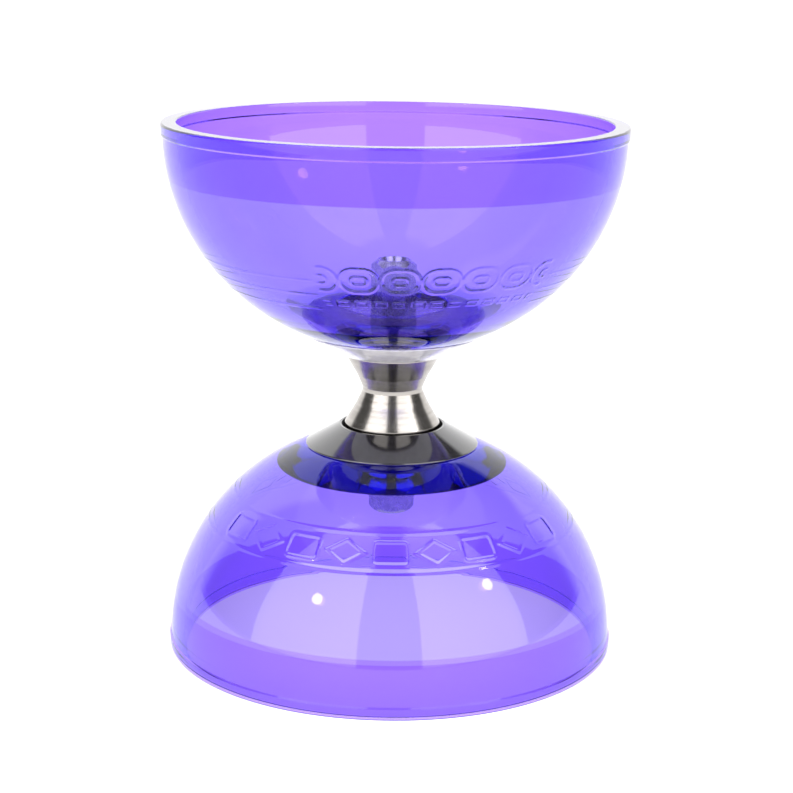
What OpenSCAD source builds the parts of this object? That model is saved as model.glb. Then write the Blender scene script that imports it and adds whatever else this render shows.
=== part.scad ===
// Triple-bearing diabolo: two clear bowls bolted to one axle, with a metal hub that turns on bearings.
// The origin is the middle of the waist, on the spin axis. +Z runs along the axis, towards the upper cup.

/* [Overall] */
// Length over both rims
overall_length = 135; // [128:0.5:142]
// Widest diameter of a cup, at its lip
cup_d = 116; // [106:0.5:126]

/* [Cups] */
// Thickness of the bowl's wall
cup_wall = 3.6; // [2.6:0.1:4]
// Outer radius of the cup's flat foot
cup_foot_r = 22.3; // [18:0.1:25]
// Height of the cup's inner floor above the middle of the waist
cup_floor_z = 21.5; // [21:0.1:25]
// Height at which the bowl's wall stands upright, below the rim
bowl_crown_drop = 2.5; // [0:0.5:4]
// Height of the lip at the rim
lip_h = 3.1; // [2:0.1:5]
// How far the lip stands out from the wall
lip_out = 0.4; // [0.2:0.1:1]
// Edge rounding of the lip
lip_round = 0.4; // [0.2:0.1:1]
// Rise of the fine rings on the outside
ring_rise = 0.35; // [0.2:0.05:0.6]
// Bead radius of the fine rings
ring_bead = 0.6; // [0.5:0.05:1]
// Distance of the upper cup's first fine ring from the middle of the waist
upper_ring_z = 28; // [25:0.1:32]
// Spacing of the upper cup's fine rings along the axis
upper_ring_step = 3.8; // [2:0.1:6]
// Number of fine rings on the upper cup
upper_ring_count = 3; // [1:1:4]
// Distance of the lower cup's first fine ring from the middle of the waist
lower_ring_z = 26.4; // [25:0.1:32]
// Spacing of the lower cup's fine rings along the axis
lower_ring_step = 7.6; // [4:0.1:10]
// Number of fine rings on the lower cup
lower_ring_count = 2; // [1:1:3]

/* [Cone hubs] */
// Distance from the middle of the waist to the cup's foot
cone_back_z = 14.6; // [14:0.1:17]
// Distance from the middle of the waist to the cone hub's inner lip
cone_lip_z = 9.4; // [9:0.1:10.5]
// Width of the inner lip round the metal hub's end
cone_lip_w = 0.6; // [0.5:0.1:1.5]
// Width of the step where the cup's foot shows outside the cone hub
cone_step = 0.1; // [0:0.1:1]
// Radius of the spigot that centres the cup
spigot_r = 8; // [6:0.1:11]
// Radial clearance of the spigot in the cup
spigot_gap = 0.1; // [0.05:0.05:0.3]

/* [Metal hub] */
// Radius of the metal hub at the middle of the waist
waist_r = 7.8; // [7:0.1:9]
// Half the height of the straight band at the waist
waist_band = 0.5; // [0.3:0.1:1.5]
// Radius where the steep cone meets the flatter one
knee_r = 9.15; // [8.8:0.05:9.8]
// Height where the steep cone meets the flatter one
knee_z = 3.6; // [3:0.1:4.5]
// Radius of the hub's ends
hub_end_r = 12.2; // [11.5:0.1:12.8]
// Height at which the flared part ends
hub_flare_z = 8.9; // [8:0.1:9.5]
// Radial gap between the hub's end and the cone hub
hub_gap = 0.8; // [0.4:0.1:1]
// Gap between the hub's end face and the cone hub
hub_face_gap = 0.8; // [0.4:0.1:1.2]

/* [Bearings] */
// Bore radius of the bearings
bearing_bore_r = 3; // [2.5:0.1:3.1]
// Outer radius of the ball bearings
bearing_r = 6.5; // [6:0.1:7]
// Width of a ball bearing
bearing_w = 5; // [4.5:0.1:5.4]
// Diameter of a ball
ball_d = 2.2; // [1.8:0.05:2.2]
// Number of balls in a bearing
ball_count = 8; // [6:1:9]
// Clearance between a ball and its groove
ball_gap = 0.05; // [0.02:0.01:0.08]
// Outer radius of the inner ring
inner_ring_r = 4.1; // [3.9:0.05:4.2]
// Inner radius of the outer ring
outer_ring_r = 5.4; // [5.3:0.05:5.6]
// Thickness of a bearing's shield
shield_t = 0.35; // [0.2:0.05:0.5]

/* [One-way clutch] */
// Outer radius of the clutch shell
clutch_r = 5; // [4.8:0.1:5.4]
// Width of the clutch shell
clutch_w = 12; // [10:0.5:12]
// Wall of the clutch shell
clutch_wall = 0.34; // [0.25:0.01:0.36]
// Diameter of a roller
roller_d = 1.6; // [1.4:0.05:1.6]
// Number of rollers
roller_count = 8; // [6:1:10]
// Length of a roller
roller_len = 8; // [6:0.5:8]

/* [Axle] */
// Clearance of the axle in the bearings
axle_gap = 0.02; // [0.01:0.01:0.05]
// Half the length of the axle
axle_half = 29; // [26:0.5:31]
// Edge chamfer of the axle's ends
axle_chamfer = 0.6; // [0.3:0.1:1]
// Clearance of the axle in the cone hubs and washers
axle_hole_gap = 0.1; // [0.05:0.05:0.3]
// Outer radius of the thin shim on the inner ring
shim_r = 4; // [3.6:0.1:4]
// Outer radius of the cup washer
washer_r = 13.5; // [11:0.1:16]
// Thickness of the cup washer
washer_t = 1.6; // [1:0.1:2]
// Depth that the cup washer is sunk below the cup's floor
washer_sunk = 3.1; // [2.5:0.1:3.5]
// Radial gap round the cup washer
washer_gap = 0.5; // [0.2:0.1:1]
// Width across the flats of the axle nut
nut_flats = 10; // [8:0.5:13]
// Length of the axle nut
nut_len = 13; // [11:0.5:16]
// Chamfer of the axle nut's outer end
nut_chamfer = 0.9; // [0.3:0.1:1.2]
// Threaded hole of the axle nut, radius over the thread's roots
nut_bore_r = 3.05; // [3:0.05:3.2]

/* [Hidden] */
$fn = 96;
// Sides of a hexagon, and the ratio of its corners to its flats
hex = 6;
hex_ratio = 1 / cos(180 / hex);
// Points along a bowl's curve
bowl_steps = 26;

// Cup: half of an ellipse turned about the axis, upright at the crown and cut flat at the foot
rim_z = overall_length / 2;
lip_r = cup_d / 2;
wall_r = lip_r - lip_out;
crown_z = rim_z - bowl_crown_drop;
bowl_b = (crown_z - cone_back_z) / sqrt(1 - pow(cup_foot_r / wall_r, 2));
washer_z = cup_floor_z - washer_sunk;

// Metal hub and what turns in it
bearing_gap = 0.1;
bearing_z = clutch_w / 2 + bearing_gap;
hub_half = bearing_z + bearing_w + bearing_gap;
recess_r = hub_end_r + hub_gap;
recess_z = hub_half + hub_face_gap;
cone_lip_r = recess_r + cone_lip_w;
pitch_r = (inner_ring_r + outer_ring_r) / 2;
groove_r = ball_d / 2 + ball_gap;
cage_gap = 0.2;
cage_end_gap = 0.8;
shield_in = 0.15;
// Small chamfers on the metal hub and the cone hubs
edge = 0.2;

// One-way clutch
axle_r = bearing_bore_r - axle_gap;
roller_gap = 0.04;
roller_pitch_r = axle_r + roller_gap + roller_d / 2;
shell_in_r = clutch_r - clutch_wall;
clutch_fit = 0.01;
clutch_cage_in = axle_r + 0.2;
clutch_cage_out = shell_in_r - 0.05;
clutch_cage_half = clutch_w / 2 - clutch_wall - 0.2;

// Axle parts
hole_r = axle_r + axle_hole_gap;
nut_z = washer_z + washer_t;

// Radius of the cup's outer curve at height z, with the wall's thickness left out if t is above 0
function bowl_r(z, t = 0) =
    (wall_r - t) * sqrt(max(0, 1 - pow((crown_z - z) / (bowl_b - t), 2)));

function bowl_curve(z0, z1, t = 0) =
    [for (i = [0 : bowl_steps])
        let (a0 = acos((crown_z - z0) / (bowl_b - t)), a1 = acos((crown_z - z1) / (bowl_b - t)),
             z = crown_z - (bowl_b - t) * cos(a0 + (a1 - a0) * i / bowl_steps))
        [bowl_r(z, t), z]];

function reversed(list) = [for (i = [len(list) - 1 : -1 : 0]) list[i]];

// Turns a part of the upper half into one of the lower half
module lower() { mirror([0, 0, 1]) children(); }

module tube(r_out, r_in, z0, z1) {
    translate([0, 0, z0]) difference() {
        cylinder(r = r_out, h = z1 - z0);
        translate([0, 0, -1]) cylinder(r = r_in, h = z1 - z0 + 2);
    }
}

module ring_bead_at(z) {
    // The bead's centre lies inside the wall, so only its rise shows
    sink = ring_bead - ring_rise;
    rotate_extrude() translate([bowl_r(z) - sink, z]) circle(r = ring_bead, $fn = 16);
}

module cup_section() {
    lip_z = rim_z - lip_h;
    lip_in = wall_r - cup_wall;
    outer = bowl_curve(cone_back_z, lip_z - lip_out);
    inner = bowl_curve(cup_floor_z, crown_z, cup_wall);
    polygon(concat(
        [[spigot_r + spigot_gap, cone_back_z]],
        outer,
        [[wall_r, lip_z - lip_out / 2], [lip_r, lip_z + lip_out / 2],
         [lip_r, rim_z - 2 * lip_round], [lip_r - lip_round / 2, rim_z - lip_round / 2],
         [lip_r - 3 * lip_round / 2, rim_z], [lip_in + lip_round, rim_z], [lip_in, rim_z - lip_round]],
        reversed(inner),
        [[washer_r + washer_gap, cup_floor_z], [washer_r + washer_gap, washer_z],
         [spigot_r + spigot_gap, washer_z]]));
}

module cup(ring_z, ring_step, ring_count) {
    union() {
        rotate_extrude() cup_section();
        for (i = [0 : ring_count - 1]) ring_bead_at(ring_z + i * ring_step);
    }
}

module cone_hub() {
    difference() {
        union() {
            rotate_extrude() polygon([[0, recess_z], [recess_r, recess_z],
                [recess_r, cone_lip_z + edge], [recess_r + edge, cone_lip_z], [cone_lip_r - edge, cone_lip_z],
                [cone_lip_r, cone_lip_z + edge], [cup_foot_r - cone_step, cone_back_z - edge],
                [cup_foot_r - cone_step, cone_back_z], [0, cone_back_z]]);
            translate([0, 0, cone_back_z - 1]) cylinder(r = spigot_r, h = washer_z - cone_back_z + 1);
        }
        translate([0, 0, recess_z - 1]) cylinder(r = hole_r, h = washer_z - recess_z + 2);
    }
}

module hub_sleeve() {
    color("silver") difference() {
        rotate_extrude() polygon([[0, -hub_half], [hub_end_r - edge, -hub_half], [hub_end_r, edge - hub_half],
            [hub_end_r, -hub_flare_z], [knee_r, -knee_z], [waist_r, -waist_band],
            [waist_r, waist_band], [knee_r, knee_z], [hub_end_r, hub_flare_z],
            [hub_end_r, hub_half - edge], [hub_end_r - edge, hub_half], [0, hub_half]]);
        translate([0, 0, -hub_half]) cylinder(r = clutch_r + clutch_fit, h = 2 * hub_half);
        for (side = [0, 1]) mirror([0, 0, side])
            translate([0, 0, bearing_z]) cylinder(r = bearing_r + clutch_fit, h = bearing_w + 1);
    }
}

module axle_rod() {
    color("lightsteelblue") rotate_extrude() polygon([[0, -axle_half], [axle_r - axle_chamfer, -axle_half],
        [axle_r, axle_chamfer - axle_half], [axle_r, axle_half - axle_chamfer],
        [axle_r - axle_chamfer, axle_half], [0, axle_half]]);
}

// Outer ring fixed in the metal hub, with the balls' groove and a step for each shield
module outer_ring() {
    mid = bearing_z + bearing_w / 2;
    rotate_extrude() difference() {
        translate([outer_ring_r, bearing_z]) square([bearing_r - outer_ring_r, bearing_w]);
        translate([pitch_r, mid]) circle(r = groove_r, $fn = 48);
        for (z = [bearing_z, bearing_z + bearing_w - shield_t])
            translate([outer_ring_r - 0.1, z]) square([shield_in + 0.15, shield_t]);
    }
}

module inner_ring() {
    mid = bearing_z + bearing_w / 2;
    rotate_extrude() difference() {
        translate([bearing_bore_r, bearing_z]) square([inner_ring_r - bearing_bore_r, bearing_w]);
        translate([pitch_r, mid]) circle(r = groove_r, $fn = 48);
    }
}

module at_balls() {
    for (i = [0 : ball_count - 1])
        rotate([0, 0, (i + 0.5) * 360 / ball_count]) translate([pitch_r, 0, bearing_z + bearing_w / 2]) children();
}

module balls() { at_balls() sphere(d = ball_d, $fn = 32); }

module ball_cage() {
    difference() {
        tube(outer_ring_r - cage_gap, inner_ring_r + cage_gap,
            bearing_z + cage_end_gap, bearing_z + bearing_w - cage_end_gap);
        at_balls() rotate([0, 90, 0]) cylinder(r = groove_r, h = 4, center = true, $fn = 32);
    }
}

module shields() {
    for (z = [bearing_z, bearing_z + bearing_w - shield_t])
        tube(outer_ring_r + shield_in, inner_ring_r + shield_in, z, z + shield_t);
}

module shim() { tube(shim_r, hole_r, bearing_z + bearing_w, recess_z); }

module cup_washer() { tube(washer_r, hole_r, washer_z, washer_z + washer_t); }

module axle_nut() {
    corner = nut_flats / 2 * hex_ratio;
    difference() {
        intersection() {
            translate([0, 0, nut_z]) cylinder(r = corner, h = nut_len, $fn = hex);
            rotate_extrude() polygon([[0, nut_z], [corner - 0.3, nut_z], [corner, nut_z + 0.3],
                [corner, nut_z + nut_len - nut_chamfer - 0.5],
                [corner - nut_chamfer - 0.6, nut_z + nut_len], [0, nut_z + nut_len]]);
        }
        translate([0, 0, nut_z - 1]) cylinder(r = nut_bore_r, h = nut_len + 2);
        translate([0, 0, nut_z + nut_len - 0.4]) cylinder(r1 = nut_bore_r, r2 = nut_bore_r + 0.5, h = 0.5);
    }
}

module clutch_shell() {
    color("gainsboro") rotate_extrude() difference() {
        translate([0, -clutch_w / 2]) square([clutch_r, clutch_w]);
        translate([-1, clutch_wall - clutch_w / 2]) square([shell_in_r + 1, clutch_w - 2 * clutch_wall]);
        translate([-1, -clutch_w]) square([clutch_cage_in + 1, 2 * clutch_w]);
    }
}

module at_rollers() {
    for (i = [0 : roller_count - 1])
        rotate([0, 0, i * 360 / roller_count]) translate([roller_pitch_r, 0, 0]) children();
}

module clutch_cage() {
    color("darkgreen") difference() {
        tube(clutch_cage_out, clutch_cage_in, -clutch_cage_half, clutch_cage_half);
        at_rollers() cube([4, roller_d + 0.2, roller_len + 0.3], center = true);
    }
}

module clutch_rollers() {
    color("silver") at_rollers() cylinder(d = roller_d, h = roller_len, center = true, $fn = 32);
}

module upper_cup() { color("mediumslateblue", 0.5) cup(upper_ring_z, upper_ring_step, upper_ring_count); }
module lower_cup() {
    color("mediumslateblue", 0.5) lower() cup(lower_ring_z, lower_ring_step, lower_ring_count);
}
module upper_cone_hub() { color("black") cone_hub(); }
module lower_cone_hub() { color("black") lower() cone_hub(); }
module upper_outer_ring() { color("gray") outer_ring(); }
module lower_outer_ring() { color("gray") lower() outer_ring(); }
module upper_inner_ring() { color("gray") inner_ring(); }
module lower_inner_ring() { color("gray") lower() inner_ring(); }
module upper_balls() { color("white") balls(); }
module lower_balls() { color("white") lower() balls(); }
module upper_ball_cage() { color("goldenrod") ball_cage(); }
module lower_ball_cage() { color("goldenrod") lower() ball_cage(); }
module upper_shields() { color("dimgray") shields(); }
module lower_shields() { color("dimgray") lower() shields(); }
module upper_shim() { color("silver") shim(); }
module lower_shim() { color("silver") lower() shim(); }
module upper_cup_washer() { color("lightsteelblue") cup_washer(); }
module lower_cup_washer() { color("lightsteelblue") lower() cup_washer(); }
module upper_axle_nut() { color("lightsteelblue") axle_nut(); }
module lower_axle_nut() { color("lightsteelblue") lower() axle_nut(); }

upper_cup();
lower_cup();
upper_cone_hub();
lower_cone_hub();
hub_sleeve();
axle_rod();
clutch_shell();
clutch_cage();
clutch_rollers();
upper_outer_ring();
lower_outer_ring();
upper_inner_ring();
lower_inner_ring();
upper_balls();
lower_balls();
upper_ball_cage();
lower_ball_cage();
upper_shields();
lower_shields();
upper_shim();
lower_shim();
upper_cup_washer();
lower_cup_washer();
upper_axle_nut();
lower_axle_nut();
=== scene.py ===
import math

import bmesh
import bpy
from bpy.props import FloatProperty, FloatVectorProperty, IntProperty, PointerProperty
from mathutils import Matrix, Vector


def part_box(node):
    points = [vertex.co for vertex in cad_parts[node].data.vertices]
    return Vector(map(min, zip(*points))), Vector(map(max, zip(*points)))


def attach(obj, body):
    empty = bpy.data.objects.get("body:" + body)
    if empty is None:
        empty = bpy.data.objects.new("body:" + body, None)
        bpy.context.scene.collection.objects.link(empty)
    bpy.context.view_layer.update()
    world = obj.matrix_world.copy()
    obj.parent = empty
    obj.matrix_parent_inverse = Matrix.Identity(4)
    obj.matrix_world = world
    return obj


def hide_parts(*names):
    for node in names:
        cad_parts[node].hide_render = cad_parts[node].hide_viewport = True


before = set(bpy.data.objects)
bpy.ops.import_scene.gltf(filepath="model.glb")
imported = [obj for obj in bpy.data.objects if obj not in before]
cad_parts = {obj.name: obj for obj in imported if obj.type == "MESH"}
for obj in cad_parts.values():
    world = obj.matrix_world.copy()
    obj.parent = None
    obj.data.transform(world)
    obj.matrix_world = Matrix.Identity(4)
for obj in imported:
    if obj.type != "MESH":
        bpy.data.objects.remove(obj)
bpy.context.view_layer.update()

bl_info = {
    "name": "Diabolo",
    "version": (1, 0, 0),
    "blender": (4, 5, 0),
    "location": "3D View > Sidebar > Diabolo",
    "description": "Builds a bearing diabolo with clear cups round its packed frame",
    "category": "Add Mesh",
}

MM = 0.001
TURN = 2 * math.pi
UP, DOWN = 1, -1
SIDES = (("upper", UP), ("lower", DOWN))
WELD = 0.001 * MM
# Facets round the turned pieces
HUB_STEPS, FINE_STEPS, NUT_STEPS = 256, 192, 144

CUP_LOW, CUP_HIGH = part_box("upper_cup")
CONE_LOW, CONE_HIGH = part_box("upper_cone_hub")
HUB_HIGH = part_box("hub_sleeve")[1]
WASHER_LOW, WASHER_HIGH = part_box("upper_cup_washer")
NUT_LOW, NUT_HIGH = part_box("upper_axle_nut")


# Sizes and colours

class CupSettings(bpy.types.PropertyGroup):
    """Sizes and colour of the two clear cups"""
    lip_radius: FloatProperty(name="Lip radius", description="Outer radius of the lip",
                              default=CUP_HIGH.x, unit="LENGTH")
    rim_height: FloatProperty(name="Rim height", description="Distance from the waist to the rim",
                              default=CUP_HIGH.z, unit="LENGTH")
    foot_height: FloatProperty(name="Foot height", description="Distance from the waist to the foot",
                               default=CUP_LOW.z, unit="LENGTH")
    foot_radius: FloatProperty(name="Foot radius", description="Radius of the flat foot",
                               default=CONE_HIGH.x, unit="LENGTH")
    wall: FloatProperty(name="Wall", description="Thickness of the wall",
                        default=3.6 * MM, unit="LENGTH")
    floor_height: FloatProperty(name="Floor height", description="Distance from the waist to the floor",
                                default=21.5 * MM, unit="LENGTH")
    lip_height: FloatProperty(name="Lip height", description="Height of the lip",
                              default=3.1 * MM, unit="LENGTH")
    lip_out: FloatProperty(name="Lip overhang", description="How far the lip stands out from the wall",
                           default=0.4 * MM, unit="LENGTH")
    crown_drop: FloatProperty(name="Crown drop",
                              description="Depth below the rim where the wall is upright",
                              default=2.5 * MM, unit="LENGTH")
    bore_radius: FloatProperty(name="Bore radius", description="Radius of the hole round the spigot",
                               default=8.1 * MM, unit="LENGTH")
    seat_gap: FloatProperty(name="Seat gap", description="Air left between the cup and what it touches",
                            default=0.05 * MM, unit="LENGTH")
    relief: FloatProperty(name="Relief", description="Height of the raised pattern and rings",
                          default=0.11 * MM, unit="LENGTH")
    # Band height is where the painted shade of the rim's band begins.
    band_height: FloatProperty(name="Band height",
                               description="Distance from the waist to the rim's band",
                               default=54.0 * MM, unit="LENGTH")
    steps: IntProperty(name="Steps", description="Facets round the cup", default=384, min=64)
    tint: FloatVectorProperty(name="Tint", description="Colour the urethane lets through",
                              default=(0.27, 0.05, 0.905), size=3, subtype="COLOR", min=0, max=1)
    # Band tint is painted shade: a deeper violet in place of the darker look the light gives the rim's
    # band.
    band_painted_shade: FloatVectorProperty(name="Band tint", description="Deeper colour of the rim's band",
                                   default=(0.68, 0.42, 1.0), size=3, subtype="COLOR", min=0, max=1)
    # Rim tint is a painted highlight: a pale colour in place of the light the rim's flat edge catches.
    rim_painted_highlight: FloatVectorProperty(name="Rim tint", description="Colour of the rim's flat edge",
                                  default=(0.60, 0.50, 0.92), size=3, subtype="COLOR", min=0, max=1)
    depth_of_tint: FloatProperty(name="Depth of tint", description="Density of the tint, per metre",
                                 default=265.0, min=0)


class HubSettings(bpy.types.PropertyGroup):
    """Sizes and colours of the cone hubs and the metal hub"""
    waist_radius: FloatProperty(name="Waist radius", description="Radius at the middle of the waist",
                                default=7.8 * MM, unit="LENGTH")
    waist_band: FloatProperty(name="Waist band", description="Half the height of the straight band",
                              default=0.5 * MM, unit="LENGTH")
    knee_radius: FloatProperty(name="Knee radius", description="Radius where the cone flattens",
                               default=9.15 * MM, unit="LENGTH")
    knee_height: FloatProperty(name="Knee height", description="Height where the cone flattens",
                               default=3.6 * MM, unit="LENGTH")
    flare_height: FloatProperty(name="Flare height", description="Height at which the flare ends",
                                default=8.9 * MM, unit="LENGTH")
    lip_radius: FloatProperty(name="Cone lip radius",
                              description="Outer radius of the cone's inner lip",
                              default=13.6 * MM, unit="LENGTH")
    recess_gap: FloatProperty(name="Recess gap", description="Running gap round the metal hub's end",
                              default=0.8 * MM, unit="LENGTH")
    spigot_radius: FloatProperty(name="Spigot radius", description="Radius of the cone's spigot",
                                 default=8.0 * MM, unit="LENGTH")
    metal: FloatVectorProperty(name="Metal", description="Colour of the metal hub",
                               default=(0.36, 0.335, 0.31), size=3, subtype="COLOR", min=0, max=1)
    black: FloatVectorProperty(name="Black", description="Colour of the cone hubs",
                               default=(0.012, 0.011, 0.014), size=3, subtype="COLOR", min=0, max=1)
    # Pale is a painted reflection: the upper cone hub is black, and this pale grey stands in for the
    # white floor it mirrors.
    floor_reflection_grey: FloatVectorProperty(name="Pale", description="Colour of the upper cone hub's underside",
                              default=(0.50, 0.49, 0.52), size=3, subtype="COLOR", min=0, max=1)


class AxleSettings(bpy.types.PropertyGroup):
    """Sizes and colour of the nuts and washers"""
    nut_flats: FloatProperty(name="Nut flats", description="Width across the nut's flats",
                             default=NUT_HIGH.y - NUT_LOW.y, unit="LENGTH")
    bore_radius: FloatProperty(name="Bore radius", description="Radius over the thread's roots",
                               default=3.05 * MM, unit="LENGTH")
    pitch: FloatProperty(name="Pitch", description="Spacing of the thread",
                         default=1.0 * MM, unit="LENGTH")
    zinc: FloatVectorProperty(name="Zinc", description="Colour of the zinc plating",
                              default=(0.42, 0.47, 0.56), size=3, subtype="COLOR", min=0, max=1)


class StageSettings(bpy.types.PropertyGroup):
    """Camera, floor and light"""
    camera_place: FloatVectorProperty(name="Camera", description="Where the camera stands",
                                      default=(-0.0004, -0.4787, 0.1155), size=3, subtype="TRANSLATION")
    camera_pitch: FloatProperty(name="Pitch", description="How far the camera looks down",
                                default=math.radians(15.74), subtype="ANGLE")
    camera_roll: FloatProperty(name="Roll", description="How far the camera leans",
                               default=math.radians(-0.7), subtype="ANGLE")
    lens: FloatProperty(name="Lens", description="Focal length in millimetres", default=87.03)
    shift: FloatProperty(name="Shift", description="Upward shift of the lens", default=0.080)
    floor_glow: FloatProperty(name="Floor glow", description="Light of the floor itself",
                              default=1.6, min=0)
    backdrop: FloatProperty(name="Backdrop", description="Light of the backdrop", default=1.5, min=0)
    gap: FloatProperty(name="Gap", description="Light between the softboxes", default=0.12, min=0)
    softbox: FloatProperty(name="Softbox", description="Light of the two softboxes", default=2.6, min=0)
    overhead: FloatProperty(name="Overhead", description="Light of the overhead panel",
                            default=0.45, min=0)
    lamp_size: FloatProperty(name="Lamp size", description="Width of each of the two small lamps",
                             default=0.10, unit="LENGTH")
    lamp_power: FloatProperty(name="Lamp power", description="Power of each of the two small lamps",
                              default=0.35, min=0, unit="POWER")
    floor: FloatVectorProperty(name="Floor", description="Colour of the floor",
                               default=(0.52, 0.52, 0.52), size=3, subtype="COLOR", min=0, max=1)


# Outlines and lathe work

def rounded(corners, steps=5):
    """The closed outline through corners (r, z, fillet), with each fillet turned into an arc."""
    points = []
    for i, (r, z, fillet) in enumerate(corners):
        here = Vector((r, z))
        if fillet <= 0:
            points.append(here)
            continue
        before = (Vector(corners[i - 1][:2]) - here).normalized()
        after = (Vector(corners[(i + 1) % len(corners)][:2]) - here).normalized()
        half = before.angle(after) / 2
        cut = fillet / math.tan(half)
        centre = here + (before + after).normalized() * fillet / math.sin(half)
        first, last = here + before * cut - centre, here + after * cut - centre
        sweep = first.angle_signed(last)
        for k in range(steps + 1):
            points.append(centre + first @ Matrix.Rotation(sweep * k / steps, 2))
    return [(p[0], p[1]) for p in points]


def lathe(outline, steps, side=UP):
    """A bmesh of the outline (r, z) turned about the axis; side DOWN mirrors it below the waist."""
    bm = bmesh.new()
    verts = [bm.verts.new((r, 0, z * side)) for r, z in outline]
    pairs = list(zip(verts, verts[1:])) + [(verts[-1], verts[0])]
    edges = [bm.edges.new(pair) for pair in pairs]
    bmesh.ops.spin(bm, geom=verts + edges, cent=(0, 0, 0), axis=(0, 0, 1), angle=TURN,
                   steps=steps, use_merge=True, use_duplicate=False)
    bmesh.ops.remove_doubles(bm, verts=bm.verts, dist=WELD)
    bmesh.ops.recalc_face_normals(bm, faces=bm.faces)
    return bm


def piece(name, bm, material, body, nodes, sharp=None):
    """A finished object from a bmesh, riding on its body and standing for its CAD nodes."""
    mesh = bpy.data.meshes.new(name)
    bm.to_mesh(mesh)
    bm.free()
    mesh.polygons.foreach_set("use_smooth", [True] * len(mesh.polygons))
    if sharp is not None:
        mesh.set_sharp_from_angle(angle=math.radians(sharp))
    obj = bpy.data.objects.new(name, mesh)
    bpy.context.scene.collection.objects.link(obj)
    obj.data.materials.append(material)
    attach(obj, body)
    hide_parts(*nodes)
    return obj


# Materials

class Finish:
    """A procedural material on Object coordinates."""

    def __init__(self, name, values=()):
        self.material = bpy.data.materials.new(name)
        self.material.use_nodes = True
        self.nodes = self.material.node_tree.nodes
        self.links = self.material.node_tree.links
        self.shader = self.nodes["Principled BSDF"]
        self.output = self.nodes["Material Output"]
        for socket, value in dict(values).items():
            self.shader.inputs[socket].default_value = value
        self.place = self.nodes.new("ShaderNodeTexCoord").outputs["Object"]

    def link(self, out, target):
        self.links.new(out, target)

    def paint(self, **values):
        """Drives the shader's sockets: Base_Color takes what is given as Base_Color."""
        for socket, out in values.items():
            self.link(out, self.shader.inputs[socket.replace("_", " ")])

    def noise(self, scale, detail=3.0, stretch=(1, 1, 1), roughness=0.5):
        """Noise of that many features a metre; stretch squeezes it along an axis."""
        mapping = self.nodes.new("ShaderNodeMapping")
        mapping.inputs["Scale"].default_value = stretch
        self.link(self.place, mapping.inputs["Vector"])
        texture = self.nodes.new("ShaderNodeTexNoise")
        texture.inputs["Scale"].default_value = scale
        texture.inputs["Detail"].default_value = detail
        texture.inputs["Roughness"].default_value = roughness
        self.link(mapping.outputs["Vector"], texture.inputs["Vector"])
        return texture.outputs["Fac"]

    def ramp(self, fac, low, high, start=0.3, end=0.7):
        """A colour ramp from low to high."""
        node = self.nodes.new("ShaderNodeValToRGB")
        for element, position, colour in zip(node.color_ramp.elements, (start, end), (low, high)):
            element.position = position
            element.color = (*colour, 1)
        self.link(fac, node.inputs["Fac"])
        return node.outputs["Color"]

    def spread(self, fac, low, high, start=0.3, end=0.7):
        """A number from low to high as fac goes from start to end."""
        node = self.nodes.new("ShaderNodeMapRange")
        values = {"From Min": start, "From Max": end, "To Min": low, "To Max": high}
        for socket, value in values.items():
            node.inputs[socket].default_value = value
        self.link(fac, node.inputs["Value"])
        return node.outputs["Result"]

    def height(self):
        """Distance from the waist, above it or below."""
        split = self.nodes.new("ShaderNodeSeparateXYZ")
        self.link(self.place, split.inputs["Vector"])
        node = self.nodes.new("ShaderNodeMath")
        node.operation = "ABSOLUTE"
        self.link(split.outputs["Z"], node.inputs[0])
        return node.outputs[0]

    def mix(self, fac, first, colour):
        """first where fac is 0, and colour where it is 1."""
        node = self.nodes.new("ShaderNodeMix")
        node.data_type = "RGBA"
        self.link(fac, node.inputs[0])
        self.link(first, node.inputs[6])
        node.inputs[7].default_value = (*colour, 1)
        return node.outputs[2]

    def bump(self, height, distance, strength=1.0):
        """A normal raised by height, which stands for distance metres."""
        node = self.nodes.new("ShaderNodeBump")
        node.inputs["Distance"].default_value = distance
        node.inputs["Strength"].default_value = strength
        self.link(height, node.inputs["Height"])
        return node.outputs["Normal"]

    def rings(self, scale):
        """Fine rings along the axis, as a turning tool leaves."""
        wave = self.nodes.new("ShaderNodeTexWave")
        wave.wave_type, wave.bands_direction = "BANDS", "Z"
        wave.inputs["Scale"].default_value = scale
        wave.inputs["Distortion"].default_value = 1.5
        wave.inputs["Detail"].default_value = 2
        wave.inputs["Detail Scale"].default_value = 0.3
        self.link(self.place, wave.inputs["Vector"])
        return wave.outputs["Fac"]


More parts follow.
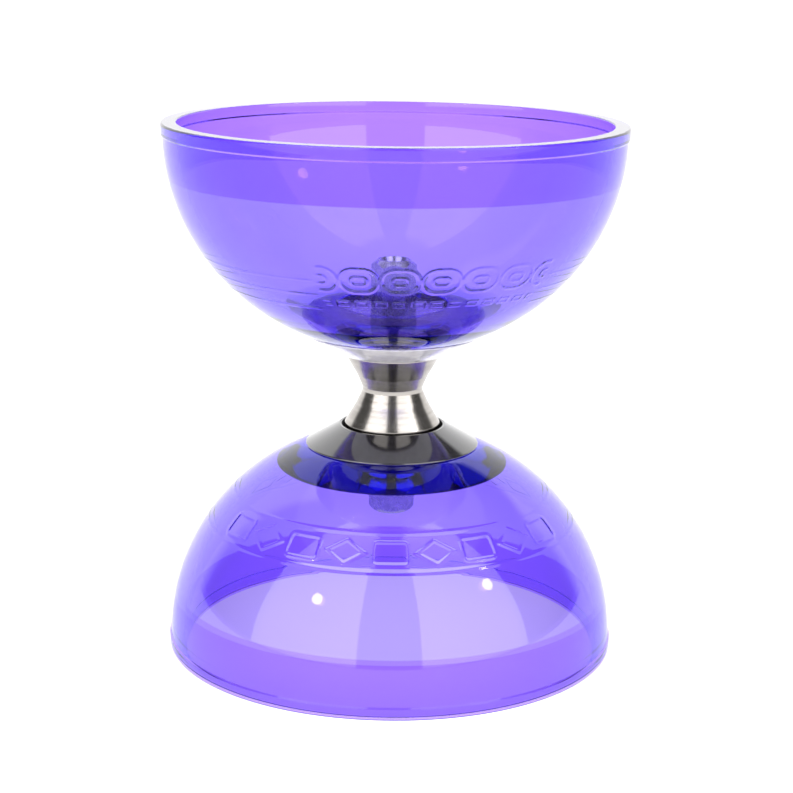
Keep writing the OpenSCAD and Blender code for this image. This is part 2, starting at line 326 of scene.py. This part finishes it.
def clear_urethane(cup):
    """Polished urethane, coloured by its thickness, with painted shade as a deeper violet tint on the
    rim's band and a painted highlight as a pale, less clear edge on the rim's flat.
    """
    f = Finish("clear_violet_urethane", {"Transmission Weight": 1.0, "IOR": 1.49})
    clear, white = 1.0, (1.0, 1.0, 1.0)
    # Painted highlight: on the rim's flat the base colour turns pale and the transmission drops to this
    # value.
    painted_highlight_clear = 0.85
    height = f.height()
    # Painted shade: this mask and the ramp below tint the band from band height up to the rim a deeper
    # violet.
    painted_shade_band = f.spread(height, 0.0, 1.0, cup.band_height - 0.1 * MM, cup.band_height + 0.2 * MM)
    painted_highlight_edge = f.spread(height, 0.0, 1.0, CUP_HIGH.z - 0.15 * MM, CUP_HIGH.z - 0.05 * MM)
    wall = f.ramp(painted_shade_band, white, cup.band_painted_shade, start=0.0, end=1.0)
    f.paint(Base_Color=f.mix(painted_highlight_edge, wall, cup.rim_painted_highlight),
            Transmission_Weight=f.spread(painted_highlight_edge, clear, painted_highlight_clear, start=0.0, end=1.0),
            Roughness=f.spread(f.noise(180, 4), 0.0, 0.03, start=0.45, end=0.75),
            Normal=f.bump(f.noise(28, 1), 0.06 * MM))
    inside = f.nodes.new("ShaderNodeVolumeAbsorption")
    inside.inputs["Color"].default_value = (*cup.tint, 1)
    inside.inputs["Density"].default_value = cup.depth_of_tint
    f.link(inside.outputs["Volume"], f.output.inputs["Volume"])
    return f.material


def black_gloss(hub):
    """Glossy black, with faint turning rings and fine dust."""
    f = Finish("black_gloss", {"IOR": 1.8, "Coat Weight": 0.6, "Coat Roughness": 0.03})
    dust = (0.03, 0.028, 0.034)
    f.paint(Base_Color=f.ramp(f.noise(900, 3), hub.black, dust, start=0.5, end=0.8),
            Roughness=f.spread(f.noise(400, 3), 0.07, 0.14),
            Normal=f.bump(f.rings(900), 0.004 * MM, 0.5))
    return f.material


def painted_reflection_gloss(hub):
    """Pale grey gloss on a hub that is black like the lower one, as a painted reflection of the white
    floor, with faint turning rings.
    """
    f = Finish("painted_reflection_gloss", {"IOR": 2.0, "Coat Weight": 0.6, "Coat Roughness": 0.05})
    brighter_floor_reflection = (0.62, 0.61, 0.64)
    f.paint(Base_Color=f.ramp(f.noise(500, 3), hub.floor_reflection_grey, brighter_floor_reflection),
            Roughness=f.spread(f.noise(400, 3), 0.10, 0.20),
            Normal=f.bump(f.rings(900), 0.004 * MM, 0.5))
    return f.material


def turned_metal(hub):
    """Bright metal, turned and polished."""
    f = Finish("turned_metal", {"Metallic": 1.0, "Anisotropic": 0.3})
    light = (0.46, 0.435, 0.41)
    streaks = f.noise(120, 4, stretch=(0.25, 0.25, 9.0), roughness=0.6)
    tangent = f.nodes.new("ShaderNodeTangent")
    tangent.direction_type, tangent.axis = "RADIAL", "Z"
    f.paint(Base_Color=f.ramp(streaks, hub.metal, light),
            Roughness=f.spread(f.noise(5000, 2), 0.10, 0.26),
            Normal=f.bump(f.rings(1600), 0.003 * MM, 0.6),
            Tangent=tangent.outputs["Tangent"])
    return f.material


def zinc_plate(axle):
    """Bright zinc plating with a faint crystal pattern."""
    f = Finish("bright_zinc", {"Metallic": 1.0})
    light = (0.58, 0.62, 0.70)
    f.paint(Base_Color=f.ramp(f.noise(700, 3), axle.zinc, light),
            Roughness=f.spread(f.noise(900, 3), 0.18, 0.34),
            Normal=f.bump(f.noise(1500, 2), 0.004 * MM, 0.5))
    return f.material


def inner_metal(name, dark, light, rough):
    """Ground or pressed metal of the sealed pieces."""
    f = Finish(name, {"Metallic": 1.0})
    f.paint(Base_Color=f.ramp(f.noise(800, 3, stretch=(1, 1, 4)), dark, light),
            Roughness=f.spread(f.noise(1200, 3), rough - 0.06, rough + 0.08),
            Normal=f.bump(f.rings(2200), 0.002 * MM, 0.5))
    return f.material


def cage_plastic():
    """Moulded nylon of the clutch cage."""
    f = Finish("moulded_nylon", {"Specular IOR Level": 0.4})
    dark, light = (0.02, 0.05, 0.03), (0.04, 0.09, 0.055)
    f.paint(Base_Color=f.ramp(f.noise(600, 3), dark, light),
            Roughness=f.spread(f.noise(900, 3), 0.4, 0.6),
            Normal=f.bump(f.noise(2500, 2), 0.01 * MM, 0.5))
    return f.material


# Cups

class Bowl:
    """The cup's outline: half an ellipse turned about the axis, upright at the crown."""

    def __init__(self, cup):
        self.cup = cup
        self.wall_r = cup.lip_radius - cup.lip_out
        self.crown = cup.rim_height - cup.crown_drop
        self.foot = cup.foot_height
        share = math.sqrt(1 - (cup.foot_radius / self.wall_r) ** 2)
        self.depth = (self.crown - self.foot) / share

    def radius(self, z, inset=0.0):
        return (self.wall_r - inset) * math.sqrt(1 - ((self.crown - z) / (self.depth - inset)) ** 2)

    def angle(self, z, inset=0.0):
        """Angle on the ellipse, from the crown's plane down, of height z."""
        return math.asin((self.crown - z) / (self.depth - inset))

    def curve(self, start, end, step, inset=0.0):
        """Points from height start to height end, about step apart."""
        first, last = self.angle(start, inset), self.angle(end, inset)
        count = max(1, round(abs(last - first) * self.depth / step))
        angles = [first + (last - first) * i / count for i in range(count + 1)]
        return [((self.wall_r - inset) * math.cos(a), self.crown - (self.depth - inset) * math.sin(a))
                for a in angles]

    def normal(self, z):
        """Outward direction (r, z) of the outer curve at height z."""
        a = self.angle(z)
        return Vector((math.cos(a) / self.wall_r, -math.sin(a) / self.depth)).normalized()


def smooth(value, low, high):
    """0 below low, 1 above high, and an easy step between."""
    t = min(1.0, max(0.0, (value - low) / (high - low)))
    return t * t * (3 - 2 * t)


def ridge(distance, half_width, edge):
    """1 on a ridge's flat top, falling to 0 over edge at its sides."""
    return 1 - smooth(abs(distance), half_width - edge, half_width)


def box_line(s, t, half_s, half_t, corner):
    """Distance from the outline of a rounded box centred at (0, 0)."""
    ds, dt = abs(s) - half_s + corner, abs(t) - half_t + corner
    outside = math.hypot(max(ds, 0), max(dt, 0))
    return outside + min(max(ds, dt), 0) - corner


def lozenge_line(s, t, half_s, half_t):
    """Distance from the outline of a lozenge centred at (0, 0)."""
    slope = math.hypot(half_s, half_t)
    return (abs(s) * half_t + abs(t) * half_s - half_s * half_t) / slope


def nearest(s, pitch):
    """Number of the cell that s is in, and the distance from its middle."""
    cell = round(s / pitch)
    return cell, s - cell * pitch


def link_band(s, t):
    """Lower cup's pattern, in mm: hollow links and lozenges in turn."""
    cell, s = nearest(s, pitch=11.0)
    if cell % 2:
        return ridge(lozenge_line(s, t, half_s=4.6, half_t=3.1), 0.5, 0.2)
    return ridge(box_line(s, t, half_s=4.3, half_t=2.9, corner=1.0), 0.5, 0.2)


def bead_band(s, t):
    """Upper cup's pattern, in mm: a row of hollow ovals over a row of dashes."""
    oval = nearest(s, pitch=9.6)[1]
    ovals = max(ridge(box_line(oval, t, half_s=4.4, half_t=3.5, corner=3.3), 0.5, 0.25),
                ridge(box_line(oval, t, half_s=1.9, half_t=1.2, corner=1.1), 0.4, 0.25))
    dash, dash_row = nearest(s, pitch=4.8)[1], -7.6
    dashes = ridge(max(abs(dash) - 1.4, abs(t - dash_row) - 0.8), 0.3, 0.3)
    return max(ovals, dashes)


# Each cup's marks: its rings' heights and half width, the pattern's middle height, the angle it is
# turned by and half its length in degrees, whether the rings stop beside it, and where facets are fine
CUP_MARKS = {
    "upper": {"rings": (28.0, 31.8, 35.6), "half_width": 0.4, "pattern": bead_band, "height": 36.2,
              "turned": 13.0, "reach": 34.0, "rings_stop": True, "rows": (26.4, 40.8)},
    "lower": {"rings": (26.4, 34.0), "half_width": 0.55, "pattern": link_band, "height": 30.2,
              "turned": 0.0, "reach": 63.0, "rings_stop": False, "rows": (25.2, 35.2)},
}
RING_SHARE = 0.6  # height of a ring against the pattern's
RING_EDGE = 0.35  # width of a ring's sloping side, mm
FADE = 0.01  # angle over which the pattern ends, radians
RING_PAUSE = (0.02, 0.05)  # where the rings start again beyond the pattern, radians


def raise_relief(bm, bowl, side, marks, relief):
    """Lifts the rings and the pattern out of the outer wall."""
    low, high = (h * MM for h in marks["rows"])
    middle = marks["height"] * MM
    mid_angle, mid_radius = bowl.angle(middle), bowl.radius(middle)
    front = math.radians(marks["turned"]) - math.pi / 2
    reach = math.radians(marks["reach"])

    def off_front(x, y):
        """Angle from the nearer of the two pattern middles, front or back."""
        a = (math.atan2(y, x) - front) % math.pi
        return a if a < math.pi / 2 else a - math.pi

    def on_wall(v):
        z = v.co.z * side
        return low < z < high and abs(math.hypot(v.co.x, v.co.y) - bowl.radius(z)) < 10 * WELD

    wall = {v for v in bm.verts if on_wall(v)}
    near = {v for v in wall if abs(off_front(v.co.x, v.co.y)) < reach}
    across = [e for e in bm.edges if near.issuperset(e.verts)
              and abs(e.verts[0].co.z - e.verts[1].co.z) < WELD / 10]
    bmesh.ops.subdivide_edges(bm, edges=across, cuts=2)
    for v in bm.verts:
        z = v.co.z * side
        r = math.hypot(v.co.x, v.co.y)
        if not (low < z < high) or r < bowl.radius(z) - 0.2 * MM:
            continue
        away = off_front(v.co.x, v.co.y)
        t = (mid_angle - bowl.angle(z)) * bowl.depth / MM
        s = away * mid_radius / MM
        inside = 1 - smooth(abs(away), reach - FADE, reach)
        lift = marks["pattern"](s, t) * inside if inside > 0 else 0.0
        for ring in marks["rings"]:
            d = (bowl.angle(z) - bowl.angle(ring * MM)) * bowl.depth / MM
            line = RING_SHARE * ridge(d, marks["half_width"], RING_EDGE)
            if marks["rings_stop"]:
                line *= smooth(abs(away), *(reach + pause for pause in RING_PAUSE))
            lift = max(lift, line)
        out = bowl.normal(z)
        true_r = bowl.radius(z) + out.x * lift * relief
        v.co.x *= true_r / r
        v.co.y *= true_r / r
        v.co.z = (z + out.y * lift * relief) * side


def cup_outline(bowl, marks):
    """The cup's closed section, from the bore along the foot, up the outside and down the inside."""
    cup = bowl.cup
    low, high = (h * MM for h in marks["rows"])
    facet, fine_facet = 1.2 * MM, 0.3 * MM
    rim, lip = cup.rim_height, cup.rim_height - cup.lip_height
    lip_in = bowl.wall_r - cup.wall
    lip_side, lip_top = 0.4 * MM, 0.3 * MM
    flat_out, flat_in = cup.lip_radius - 0.8 * MM, lip_in + 0.6 * MM
    foot, foot_edge = bowl.foot + cup.seat_gap, 0.3 * MM
    washer_r = WASHER_HIGH.x + 0.5 * MM
    washer_z = WASHER_LOW.z - cup.seat_gap
    floor_fillet = 2.2 * MM
    outer = (bowl.curve(foot + foot_edge, low, facet)[:-1] + bowl.curve(low, high, fine_facet)
             + bowl.curve(high, lip - cup.lip_out, facet)[1:-1])
    lip_part = rounded([
        (*outer[-1], 0), (bowl.wall_r, lip - cup.lip_out / 2, 0.15 * MM),
        (cup.lip_radius, lip + cup.lip_out / 2, 0.15 * MM), (cup.lip_radius, rim - lip_side, 0.6 * MM),
        (cup.lip_radius - lip_top, rim, 0.3 * MM), (flat_out, rim, 0), (flat_in, rim, 0),
        (lip_in, rim, 0.35 * MM), (lip_in, bowl.crown, 0)])[1:-1]
    inner = bowl.curve(bowl.crown, cup.floor_height + floor_fillet, facet, cup.wall)
    corner = (bowl.radius(cup.floor_height, cup.wall), cup.floor_height)
    floor_part = rounded([
        (*inner[-1], 0), (*corner, floor_fillet), (washer_r, cup.floor_height, 0.4 * MM),
        (washer_r, washer_z, 0.2 * MM), (cup.bore_radius, washer_z, 0.2 * MM),
        (cup.bore_radius, foot, 0.2 * MM), (bowl.radius(foot) - foot_edge, foot, 0)])[1:]
    return outer + lip_part + inner + floor_part


class DIABOLO_OT_cups(bpy.types.Operator):
    """Build the two clear cups with their rings and raised pattern"""
    bl_idname = "diabolo.cups"
    bl_label = "Cups"

    def execute(self, context):
        cup = context.scene.diabolo_cups
        bowl = Bowl(cup)
        material = clear_urethane(cup)
        for word, side in SIDES:
            marks = CUP_MARKS[word]
            bm = lathe(cup_outline(bowl, marks), cup.steps, side)
            raise_relief(bm, bowl, side, marks, cup.relief)
            piece(f"{word}_clear_cup", bm, material, "rotor", [f"{word}_cup"])
        return {"FINISHED"}


# Cone hubs and metal hub

class DIABOLO_OT_cone_hubs(bpy.types.Operator):
    """Build the two cone hubs: the upper one in pale grey, a painted reflection of the white floor on
    its black face, the lower one black.
    """
    bl_idname = "diabolo.cone_hubs"
    bl_label = "Cone hubs"

    def execute(self, context):
        hub = context.scene.diabolo_hub
        # Painted reflection: the upper cone hub gets the pale grey material in place of black.
        materials = {"upper": painted_reflection_gloss(hub), "lower": black_gloss(hub)}
        recess_r = HUB_HIGH.x + hub.recess_gap
        recess_z = HUB_HIGH.z + hub.recess_gap
        back = CUP_LOW.z
        outer = CONE_HIGH.x
        hole, back_edge = 3.08 * MM, 0.35 * MM
        outline = rounded([
            (hole, recess_z, 0.1 * MM), (recess_r, recess_z, 0.3 * MM),
            (recess_r, CONE_LOW.z, 0.2 * MM), (hub.lip_radius, CONE_LOW.z, 0.25 * MM),
            (outer, back - back_edge, 0.3 * MM), (outer, back, 0.1 * MM),
            (hub.spigot_radius, back, 0.1 * MM), (hub.spigot_radius, CONE_HIGH.z, 0.2 * MM),
            (hole, CONE_HIGH.z, 0.1 * MM)])
        for word, side in SIDES:
            bm = lathe(outline, FINE_STEPS, side)
            piece(f"{word}_cone", bm, materials[word], "rotor", [f"{word}_cone_hub"],
                  sharp=40)
        return {"FINISHED"}


class DIABOLO_OT_metal_hub(bpy.types.Operator):
    """Build the waisted metal hub"""
    bl_idname = "diabolo.metal_hub"
    bl_label = "Metal hub"

    def execute(self, context):
        hub = context.scene.diabolo_hub
        end_r, half = HUB_HIGH.x, HUB_HIGH.z
        bearing_r, clutch_r = 6.51 * MM, 5.01 * MM
        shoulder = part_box("upper_outer_ring")[0].z
        knee_fillet = 4.0 * MM
        upper = [
            (clutch_r, shoulder, 0), (bearing_r, shoulder, 0), (bearing_r, half, 0.15 * MM),
            (end_r, half, 0.25 * MM), (end_r, hub.flare_height, 0.25 * MM),
            (hub.knee_radius, hub.knee_height, knee_fillet),
            (hub.waist_radius, hub.waist_band, 0.6 * MM)]
        lower = [(r, -z, fillet) for r, z, fillet in reversed(upper)]
        bm = lathe(rounded(upper + lower, steps=6), HUB_STEPS)
        piece("bright_waist", bm, turned_metal(hub), "metal_hub", ["hub_sleeve"],
              sharp=35)
        return {"FINISHED"}


# Nuts, washers and the sealed pieces

class DIABOLO_OT_axle_nuts(bpy.types.Operator):
    """Build the two long hexagon nuts and their washers"""
    bl_idname = "diabolo.axle_nuts"
    bl_label = "Axle nuts and washers"

    def execute(self, context):
        axle = context.scene.diabolo_axle
        material = zinc_plate(axle)
        for word, side in SIDES:
            bm = lathe(self.outline(axle), NUT_STEPS, side)
            self.cut_flats(bm, axle.nut_flats / 2)
            piece(f"{word}_long_nut", bm, material, "rotor", [f"{word}_axle_nut"],
                  sharp=20)
            self.washer(word, side, material)
        return {"FINISHED"}

    def outline(self, axle):
        """The nut's section over its corners, with the thread's ridges down the bore."""
        low, high = NUT_LOW.z, NUT_HIGH.z
        corner = axle.nut_flats / 2 / math.cos(math.pi / 6)
        foot, top, top_in, mouth = 0.4 * MM, 1.6 * MM, 1.7 * MM, 0.6 * MM
        plain_end, thread_depth = 0.6 * MM, 0.35 * MM
        crest = axle.bore_radius - thread_depth
        thread = []
        turns = int((high - low - 2 * plain_end) / axle.pitch)
        for i in range(turns, 0, -1):
            z = low + plain_end + i * axle.pitch
            thread += [(axle.bore_radius, z, 0), (crest, z - axle.pitch / 2, 0)]
        return rounded([
            (axle.bore_radius + 0.1 * MM, low, 0), (corner - foot, low, 0),
            (corner, low + foot, 0.2 * MM), (corner, high - top, 0.6 * MM),
            (corner - top_in, high, 0.15 * MM), (axle.bore_radius + mouth, high, 0.1 * MM)] + thread,
            steps=4)

    def cut_flats(self, bm, half):
        """Cuts the six flats, each at distance half from the axis."""
        for k in range(6):
            out = Vector((math.sin(k * TURN / 6), math.cos(k * TURN / 6), 0))
            cut = bmesh.ops.bisect_plane(bm, geom=bm.verts[:] + bm.edges[:] + bm.faces[:],
                                         plane_co=out * half, plane_no=out,
                                         clear_outer=True, dist=WELD / 10)
            rim = [e for e in cut["geom_cut"] if isinstance(e, bmesh.types.BMEdge)]
            bmesh.ops.edgeloop_fill(bm, edges=rim)
        bmesh.ops.recalc_face_normals(bm, faces=bm.faces)

    def washer(self, word, side, material):
        """Build one washer, with an eased outer edge."""
        low, high, r = WASHER_LOW.z, WASHER_HIGH.z, WASHER_HIGH.x
        hole = 3.2 * MM
        outline = rounded([(hole, low, 0.1 * MM), (r, low, 0.15 * MM), (r, high, 0.35 * MM),
                           (hole, high, 0.2 * MM)])
        piece(f"{word}_steel_washer", lathe(outline, FINE_STEPS, side), material, "rotor",
              [f"{word}_cup_washer"], sharp=40)


class DIABOLO_OT_sealed_pieces(bpy.types.Operator):
    """Give the axle, bearings, clutch and shims their finishes"""
    bl_idname = "diabolo.sealed_pieces"
    bl_label = "Sealed pieces"

    def execute(self, context):
        ground = inner_metal("ground_steel", (0.55, 0.55, 0.57), (0.72, 0.72, 0.74), 0.22)
        finishes = {
            ("axle_rod", "upper_shim", "lower_shim"): zinc_plate(context.scene.diabolo_axle),
            ("clutch_cage",): cage_plastic(),
            ("clutch_shell", "clutch_rollers", "upper_outer_ring", "lower_outer_ring",
             "upper_inner_ring", "lower_inner_ring", "upper_balls", "lower_balls"): ground,
            ("upper_shields", "lower_shields"):
                inner_metal("pressed_steel", (0.38, 0.38, 0.40), (0.52, 0.52, 0.54), 0.32),
            ("upper_ball_cage", "lower_ball_cage"):
                inner_metal("pressed_brass", (0.62, 0.42, 0.16), (0.78, 0.56, 0.24), 0.28),
        }
        for names, material in finishes.items():
            for name in names:
                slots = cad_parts[name].data.materials
                slots.clear()
                slots.append(material)
        return {"FINISHED"}


# Stage

# Where the light stands, as seen from the object. A turn is in degrees away from the camera's side,
# and a rise is how far a direction points up, from -1 to 1.
SOFTBOX_TURN, SOFTBOX_RISE = (17, 74), (0.02, 0.955)
BACKDROP_TURN, BACKDROP_TOP, BACKDROP_LEAN = (124, 181), 0.72, 0.3
PANEL_RISE, PANEL_FRONT = 0.78, -0.31
FAR = 3.0  # past every direction
LAMPS = (("left_lamp", (-0.62, -0.66, 0.50)), ("right_lamp", (0.75, -0.40, 0.52)))
PAPER_SHADE = 0.985  # the paper's darker patches against its colour


class DIABOLO_OT_stage(bpy.types.Operator):
    """Set the floor, the soft light and the camera"""
    bl_idname = "diabolo.stage"
    bl_label = "Stage"

    def execute(self, context):
        stage = context.scene.diabolo_stage
        self.floor(stage)
        self.sky(context, stage)
        self.lamps(stage)
        self.camera(context, stage)
        context.scene.view_settings.view_transform = "Standard"
        cycles = context.scene.cycles
        cycles.max_bounces = 24
        cycles.transmission_bounces = 24
        cycles.glossy_bounces = 8
        return {"FINISHED"}

    def floor(self, stage):
        """A wide sheet of white paper that glows a little."""
        bm = bmesh.new()
        bmesh.ops.create_grid(bm, x_segments=1, y_segments=1, size=40,
                              matrix=Matrix.Translation((0, 0, -CUP_HIGH.z)))
        mesh = bpy.data.meshes.new("studio_floor")
        bm.to_mesh(mesh)
        bm.free()
        obj = bpy.data.objects.new("studio_floor", mesh)
        bpy.context.scene.collection.objects.link(obj)
        f = Finish("white_paper", {"Roughness": 0.7, "Specular IOR Level": 0.2})
        shade = f.ramp(f.noise(30, 4), stage.floor, tuple(c * PAPER_SHADE for c in stage.floor))
        f.paint(Base_Color=shade, Emission_Color=shade)
        f.shader.inputs["Emission Strength"].default_value = stage.floor_glow
        mesh.materials.append(f.material)

    def sky(self, context, stage):
        """A white backdrop, a softbox left and right of the camera, and a panel overhead."""
        world = bpy.data.worlds.new("studio")
        context.scene.world = world
        world.use_nodes = True
        nodes, links = world.node_tree.nodes, world.node_tree.links

        def maths(operation, *values):
            """A math node fed with sockets and plain numbers."""
            node = nodes.new("ShaderNodeMath")
            node.operation = operation
            for socket, value in zip(node.inputs, values):
                if isinstance(value, (int, float)):
                    socket.default_value = value
                else:
                    links.new(value, socket)
            return node.outputs[0]

        def between(value, low, high, soft):
            """1 where value lies between low and high, falling to 0 over soft outside them."""
            rise = maths("DIVIDE", maths("SUBTRACT", value, low - soft), soft)
            fall = maths("DIVIDE", maths("SUBTRACT", high + soft, value), soft)
            shade = maths("MINIMUM", rise, fall)
            shade.node.use_clamp = True
            return shade

        split = nodes.new("ShaderNodeSeparateXYZ")
        links.new(nodes.new("ShaderNodeTexCoord").outputs["Generated"], split.inputs[0])
        x, y, z = split.outputs
        turned = maths("ABSOLUTE", maths("ARCTAN2", x, maths("MULTIPLY", y, -1.0)))
        degree = math.radians(1)
        boxes = maths("MULTIPLY", between(turned, *(a * degree for a in SOFTBOX_TURN), 1 * degree),
                      between(z, *SOFTBOX_RISE, 0.02))
        leaning = maths("ADD", z, maths("MULTIPLY", x, BACKDROP_LEAN))
        back = maths("MULTIPLY", between(turned, *(a * degree for a in BACKDROP_TURN), 8 * degree),
                     between(leaning, -FAR, BACKDROP_TOP, 0.06))
        panel = maths("MULTIPLY", between(z, PANEL_RISE, FAR, 0.01),
                      between(y, PANEL_FRONT, FAR, 0.006))
        light = maths("ADD", stage.gap, maths("MULTIPLY", boxes, stage.softbox))
        light = maths("ADD", light, maths("MULTIPLY", back, stage.backdrop - stage.gap))
        light = maths("ADD", light, maths("MULTIPLY", panel, stage.overhead))
        path = nodes.new("ShaderNodeLightPath")
        seen = maths("MAXIMUM", path.outputs["Is Camera Ray"], light)
        background = nodes["Background"]
        background.inputs["Color"].default_value = (1, 1, 1, 1)
        links.new(seen, background.inputs["Strength"])

    def lamps(self, stage):
        """Two small round lamps, which make the bright spots on the cups."""
        for name, place in LAMPS:
            light = bpy.data.lights.new(name, "AREA")
            light.shape, light.size, light.energy = "DISK", stage.lamp_size, stage.lamp_power
            lamp = bpy.data.objects.new(name, light)
            lamp.location = place
            lamp.rotation_euler = (-Vector(place)).to_track_quat("-Z", "Y").to_euler()
            bpy.context.scene.collection.objects.link(lamp)

    def camera(self, context, stage):
        """The camera, turned and shifted as the settings say."""
        camera = bpy.data.objects.new("camera", bpy.data.cameras.new("camera"))
        camera.location = stage.camera_place
        camera.rotation_euler = (math.pi / 2 - stage.camera_pitch, stage.camera_roll, 0)
        camera.data.lens = stage.lens
        camera.data.shift_y = stage.shift
        camera.data.clip_start, camera.data.clip_end = 0.01, 100
        context.scene.collection.objects.link(camera)
        context.scene.camera = camera


PIECES = (DIABOLO_OT_cups, DIABOLO_OT_cone_hubs, DIABOLO_OT_metal_hub, DIABOLO_OT_axle_nuts,
          DIABOLO_OT_sealed_pieces, DIABOLO_OT_stage)


class DIABOLO_PT_panel(bpy.types.Panel):
    """Sizes, colours and build steps of the diabolo"""
    bl_label = "Diabolo"
    bl_idname = "DIABOLO_PT_panel"
    bl_space_type = "VIEW_3D"
    bl_region_type = "UI"
    bl_category = "Diabolo"

    def draw(self, context):
        for operator in PIECES:
            self.layout.operator(operator.bl_idname)
        for name in SETTINGS:
            group = getattr(context.scene, name)
            box = self.layout.box()
            for key in group.bl_rna.properties.keys():
                if key not in ("rna_type", "name"):
                    box.prop(group, key)


SETTINGS = {
    "diabolo_cups": CupSettings,
    "diabolo_hub": HubSettings,
    "diabolo_axle": AxleSettings,
    "diabolo_stage": StageSettings,
}
CLASSES = (*SETTINGS.values(), *PIECES, DIABOLO_PT_panel)


def register():
    for cls in CLASSES:
        bpy.utils.register_class(cls)
    for name, group in SETTINGS.items():
        setattr(bpy.types.Scene, name, PointerProperty(type=group))


def unregister():
    for name in SETTINGS:
        delattr(bpy.types.Scene, name)
    for cls in reversed(CLASSES):
        bpy.utils.unregister_class(cls)


def main():
    """Build everything round the frame."""
    register()
    bpy.ops.diabolo.stage()
    bpy.ops.diabolo.cups()
    bpy.ops.diabolo.cone_hubs()
    bpy.ops.diabolo.metal_hub()
    bpy.ops.diabolo.axle_nuts()
    bpy.ops.diabolo.sealed_pieces()


if __name__ == "__main__":
    main()
